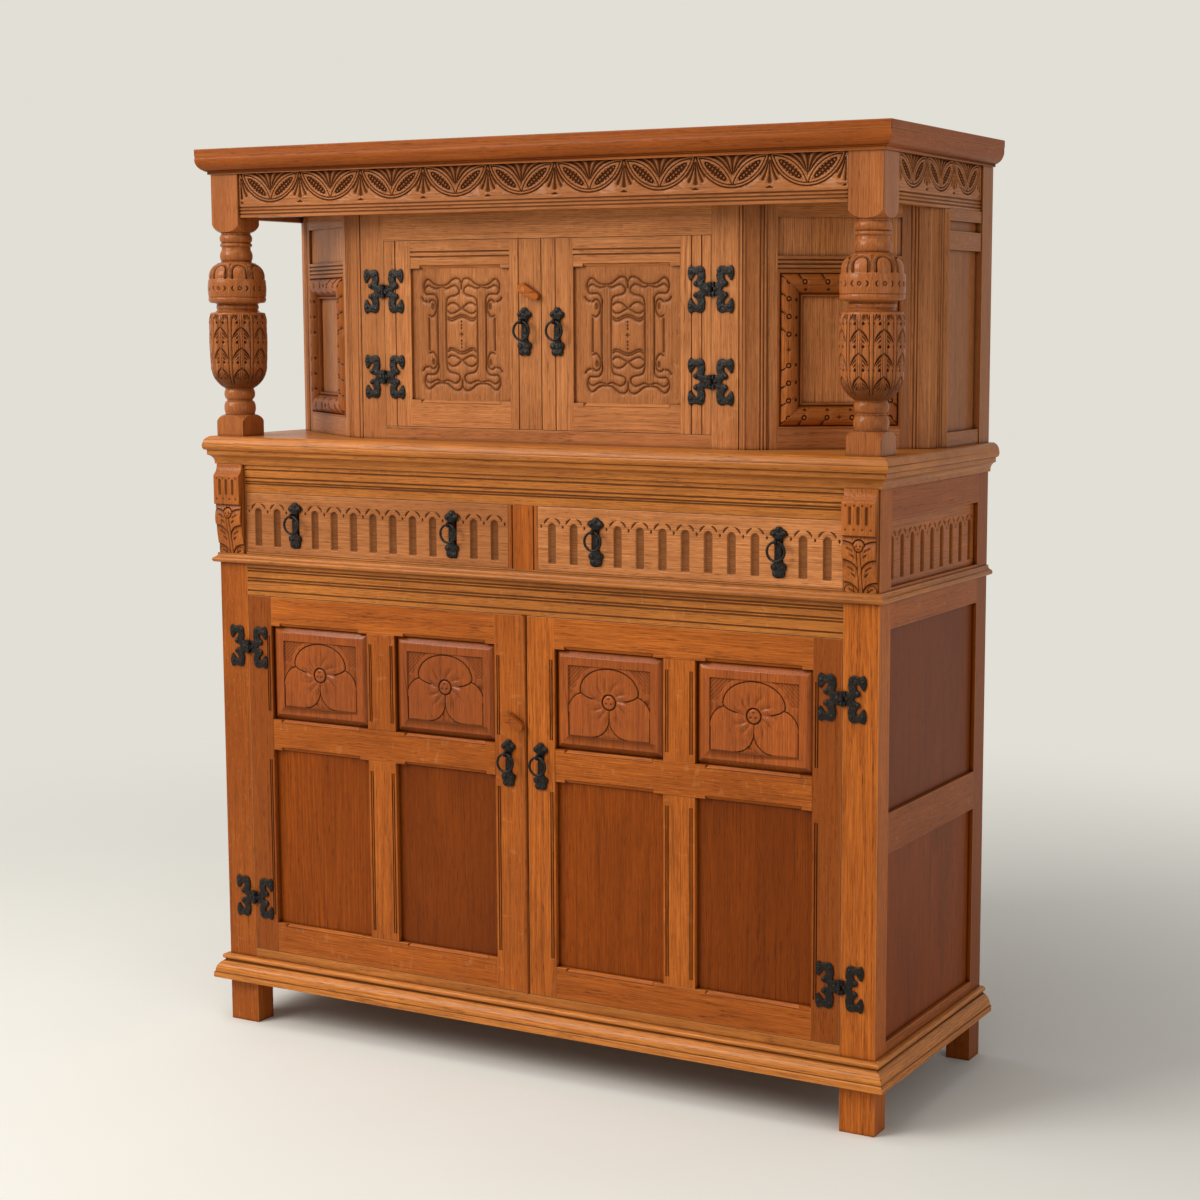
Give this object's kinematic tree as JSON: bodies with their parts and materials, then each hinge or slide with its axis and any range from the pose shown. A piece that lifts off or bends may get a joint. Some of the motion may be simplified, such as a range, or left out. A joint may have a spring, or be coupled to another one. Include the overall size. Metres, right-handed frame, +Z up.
{
  "type": "court cupboard",
  "caption": "Oak court cupboard: canted upper cupboard under a carved frieze on cup-and-cover posts, fluted drawers and panelled doors below.",
  "frame": {"origin": "on the floor, under the middle of the box that the cupboard fills", "axes": "+X to the right as one faces the doors, +Y to the back, +Z up"},
  "size_m": [1.376, 0.498, 1.628],
  "materials": {
    "oak": "waxed, satin, honey brown",
    "carved_oak": "waxed, satin, dark stain left in the hollows",
    "inside_oak": "dry, unpolished",
    "iron": "blackened, slightly worn"
  },
  "bodies": {
    "carcass": {"back_panels": "inside_oak", "back_posts": "oak", "base_moulding": "oak", "canted_mouldings": "carved_oak", "corbels": "carved_oak", "cornice_frame": "oak", "drawer_divider": "oak", "drawer_runners": "inside_oak", "fixed_hinge_leaves": "iron", "floor_board": "inside_oak", "front_frieze": "carved_oak", "front_posts": "oak", "front_rails": "oak", "inner_shelf": "inside_oak", "left_turned_post": "carved_oak", "middle_shelf": "oak", "right_turned_post": "carved_oak", "shelf_cove": "oak", "side_fluted_panels": "oak", "side_friezes": "carved_oak", "side_panels": "oak", "side_rails": "oak", "soffit_board": "inside_oak", "top_board": "oak", "upper_back_posts": "oak", "upper_corner_posts": "oak", "upper_front_frame": "oak", "upper_wall_frames": "oak", "upper_wall_panels": "oak", "waist_moulding": "oak"},
    "lower_left_door": {"lower_left_door_frame": "oak", "lower_left_door_panels": "carved_oak", "lower_left_door_ironwork": "iron"},
    "lower_left_door_ring": {"lower_left_door_ring": "iron"},
    "lower_right_door": {"lower_right_door_frame": "oak", "lower_right_door_panels": "carved_oak", "lower_right_door_ironwork": "iron"},
    "lower_right_door_ring": {"lower_right_door_ring": "iron"},
    "upper_left_door": {"upper_left_door_frame": "oak", "upper_left_door_panel": "carved_oak", "upper_left_door_ironwork": "iron"},
    "upper_left_door_ring": {"upper_left_door_ring": "iron"},
    "upper_right_door": {"upper_right_door_frame": "oak", "upper_right_door_panel": "carved_oak", "upper_right_door_ironwork": "iron"},
    "upper_right_door_ring": {"upper_right_door_ring": "iron"},
    "left_drawer": {"left_drawer_front": "oak", "left_drawer_box": "inside_oak", "left_drawer_plates": "iron"},
    "left_drawer_inner_ring": {"left_drawer_inner_ring": "iron"},
    "left_drawer_outer_ring": {"left_drawer_outer_ring": "iron"},
    "right_drawer": {"right_drawer_front": "oak", "right_drawer_box": "inside_oak", "right_drawer_plates": "iron"},
    "right_drawer_inner_ring": {"right_drawer_inner_ring": "iron"},
    "right_drawer_outer_ring": {"right_drawer_outer_ring": "iron"},
    "lower_turn_button": {"lower_turn_button": "oak"},
    "upper_turn_button": {"upper_turn_button": "oak"}
  },
  "joints": [
    {"name": "lower_left_door_hinge", "type": "hinge", "parent": "carcass", "child": "lower_left_door", "pos_m": [-0.60165, -0.23, 0.5545], "axis": [0, 0, -1], "range_deg": [0, 165]},
    {"name": "lower_left_door_ring_swing", "type": "hinge", "parent": "lower_left_door", "child": "lower_left_door_ring", "pos_m": [-0.033, -0.239, 0.5725], "axis": [-1, 0, 0], "range_deg": [0, 100]},
    {"name": "lower_right_door_hinge", "type": "hinge", "parent": "carcass", "child": "lower_right_door", "pos_m": [0.60165, -0.23, 0.5545], "axis": [0, 0, 1], "range_deg": [0, 165]},
    {"name": "lower_right_door_ring_swing", "type": "hinge", "parent": "lower_right_door", "child": "lower_right_door_ring", "pos_m": [0.033, -0.239, 0.5725], "axis": [-1, 0, 0], "range_deg": [0, 100]},
    {"name": "upper_left_door_hinge", "type": "hinge", "parent": "carcass", "child": "upper_left_door", "pos_m": [-0.32965, -0.165, 1.301], "axis": [0, 0, -1], "range_deg": [0, 130]},
    {"name": "upper_left_door_ring_swing", "type": "hinge", "parent": "upper_left_door", "child": "upper_left_door_ring", "pos_m": [-0.033, -0.174, 1.319], "axis": [-1, 0, 0], "range_deg": [0, 100]},
    {"name": "upper_right_door_hinge", "type": "hinge", "parent": "carcass", "child": "upper_right_door", "pos_m": [0.32965, -0.165, 1.301], "axis": [0, 0, 1], "range_deg": [0, 130]},
    {"name": "upper_right_door_ring_swing", "type": "hinge", "parent": "upper_right_door", "child": "upper_right_door_ring", "pos_m": [0.033, -0.174, 1.319], "axis": [-1, 0, 0], "range_deg": [0, 100]},
    {"name": "left_drawer_slide", "type": "slide", "parent": "carcass", "child": "left_drawer", "axis": [0, -1, 0], "range_m": [0, 0.33]},
    {"name": "left_drawer_inner_ring_swing", "type": "hinge", "parent": "left_drawer", "child": "left_drawer_inner_ring", "pos_m": [-0.146, -0.239, 0.968], "axis": [-1, 0, 0], "range_deg": [0, 100]},
    {"name": "left_drawer_outer_ring_swing", "type": "hinge", "parent": "left_drawer", "child": "left_drawer_outer_ring", "pos_m": [-0.488, -0.239, 0.968], "axis": [-1, 0, 0], "range_deg": [0, 100]},
    {"name": "right_drawer_slide", "type": "slide", "parent": "carcass", "child": "right_drawer", "axis": [0, -1, 0], "range_m": [0, 0.33]},
    {"name": "right_drawer_inner_ring_swing", "type": "hinge", "parent": "right_drawer", "child": "right_drawer_inner_ring", "pos_m": [0.146, -0.239, 0.968], "axis": [-1, 0, 0], "range_deg": [0, 100]},
    {"name": "right_drawer_outer_ring_swing", "type": "hinge", "parent": "right_drawer", "child": "right_drawer_outer_ring", "pos_m": [0.488, -0.239, 0.968], "axis": [-1, 0, 0], "range_deg": [0, 100]},
    {"name": "lower_turn_button_pivot", "type": "hinge", "parent": "lower_left_door", "child": "lower_turn_button", "pos_m": [-0.026, -0.235, 0.635], "axis": [0, 1, 0], "range_deg": [0, 60]},
    {"name": "upper_turn_button_pivot", "type": "hinge", "parent": "upper_left_door", "child": "upper_turn_button", "pos_m": [-0.0302, -0.166, 1.374], "axis": [0, 1, 0], "range_deg": [0, 38]}
  ]
}
